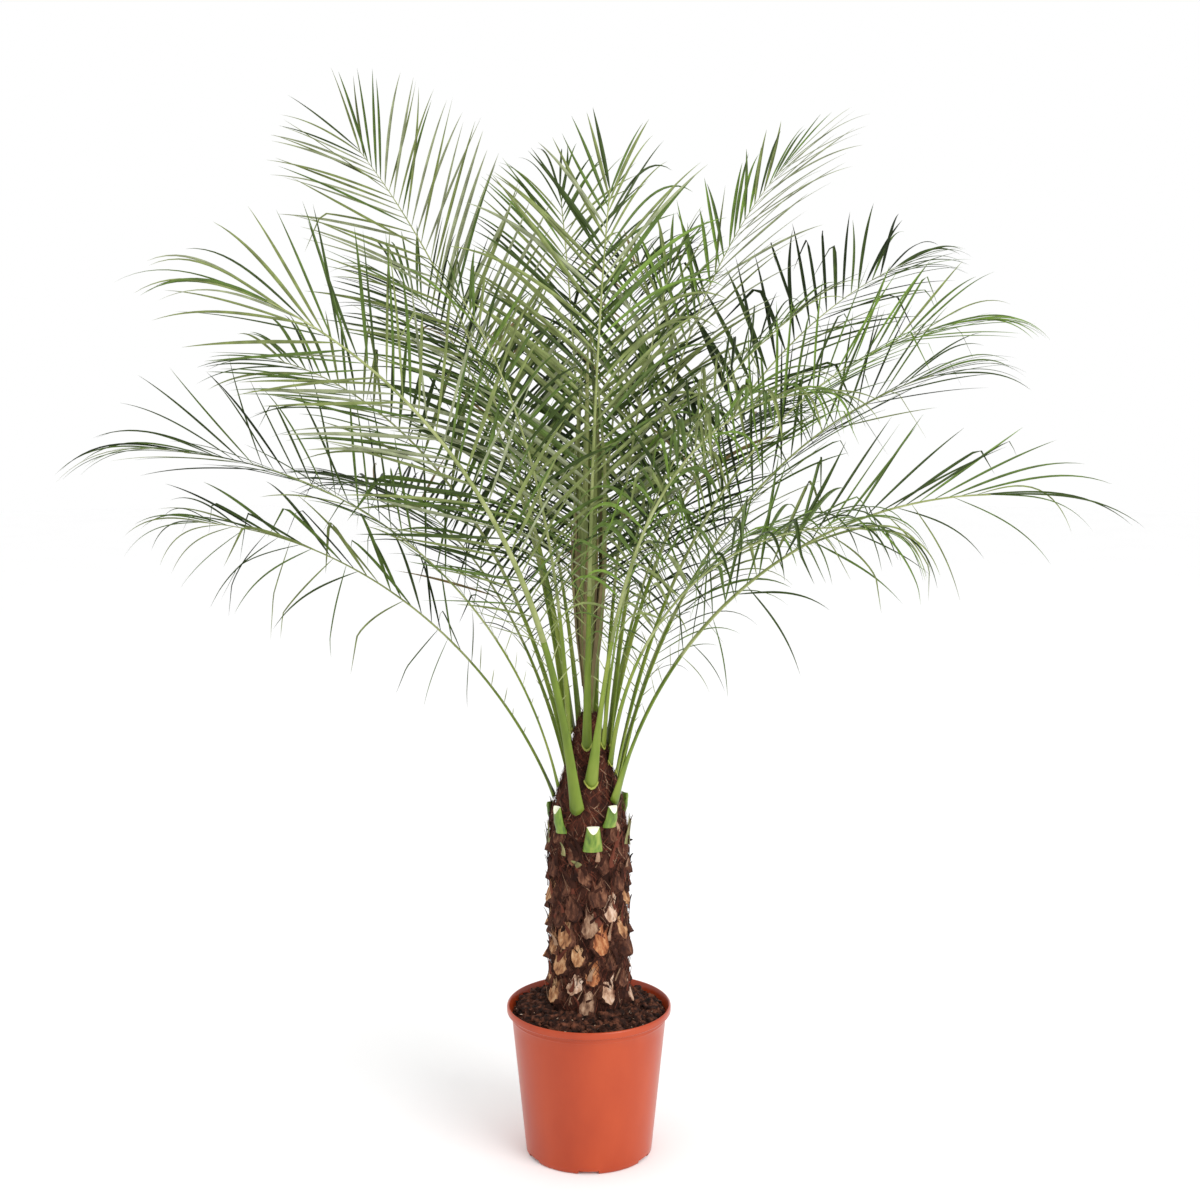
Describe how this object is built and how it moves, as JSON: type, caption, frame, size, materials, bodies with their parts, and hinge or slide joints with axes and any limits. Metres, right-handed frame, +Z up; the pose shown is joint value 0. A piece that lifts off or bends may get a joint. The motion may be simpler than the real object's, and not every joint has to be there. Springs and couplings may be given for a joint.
{
  "type": "pygmy date palm in a pot",
  "caption": "Small indoor palm with a stout fibrous trunk, arching feathery fronds and a tapered plastic nursery pot filled with soil.",
  "frame": {"origin": "centre of the pot's flat underside, which stands on the floor", "axes": "+Z up along the trunk, +X to the right and -Y towards the viewer of the picture"},
  "size_m": [1.7771, 1.3383, 1.8515],
  "materials": {
    "pot_plastic": "terracotta orange moulded plastic, half gloss",
    "potting_soil": "damp dark potting soil with bark chips",
    "trunk_bark": "reddish brown fibre with tan cut leaf bases",
    "spear_leaf": "folded young leaf, brownish",
    "frond_stalk": "smooth light green stalk",
    "frond_leaf": "soft sage green leaflets on a pale midrib"
  },
  "bodies": {
    "root": {"frond_01_blade": "frond_leaf", "frond_01_stalk": "frond_stalk", "frond_01_tip": "frond_leaf", "frond_02_base": "frond_leaf", "frond_02_tip": "frond_leaf", "frond_03_base": "frond_leaf", "frond_03_tip": "frond_leaf", "frond_04_base": "frond_leaf", "frond_04_tip": "frond_leaf", "frond_05_base": "frond_leaf", "frond_05_tip": "frond_leaf", "frond_06_blade": "frond_leaf", "frond_06_stalk": "frond_stalk", "frond_06_tip": "frond_leaf", "frond_07_blade": "frond_leaf", "frond_07_stalk": "frond_stalk", "frond_07_tip": "frond_leaf", "frond_08_blade": "frond_leaf", "frond_08_stalk": "frond_stalk", "frond_08_tip": "frond_leaf", "frond_09_blade": "frond_leaf", "frond_09_stalk": "frond_stalk", "frond_09_tip": "frond_leaf", "frond_10_blade": "frond_leaf", "frond_10_stalk": "frond_stalk", "frond_10_tip": "frond_leaf", "frond_11_base": "frond_leaf", "frond_11_tip": "frond_leaf", "frond_12_blade": "frond_leaf", "frond_12_stalk": "frond_stalk", "frond_12_tip": "frond_leaf", "frond_13_blade": "frond_leaf", "frond_13_stalk": "frond_stalk", "frond_13_tip": "frond_leaf", "frond_14_base": "frond_leaf", "frond_14_tip": "frond_leaf", "frond_15_base": "frond_leaf", "frond_15_tip": "frond_leaf", "frond_16_base": "frond_leaf", "frond_16_tip": "frond_leaf", "frond_17_base": "frond_leaf", "frond_17_tip": "frond_leaf", "frond_18_base": "frond_leaf", "frond_18_tip": "frond_leaf", "frond_19_base": "frond_leaf", "frond_19_tip": "frond_leaf", "frond_20_base": "frond_leaf", "frond_20_tip": "frond_leaf", "frond_21_base": "frond_leaf", "frond_21_tip": "frond_leaf", "frond_22_base": "frond_leaf", "frond_22_tip": "frond_leaf", "frond_23_base": "frond_leaf", "frond_23_tip": "frond_leaf", "frond_24_base": "frond_leaf", "frond_24_tip": "frond_leaf", "pot": "pot_plastic", "soil": "potting_soil", "spear": "spear_leaf", "trunk": "trunk_bark"}
  },
  "joints": []
}
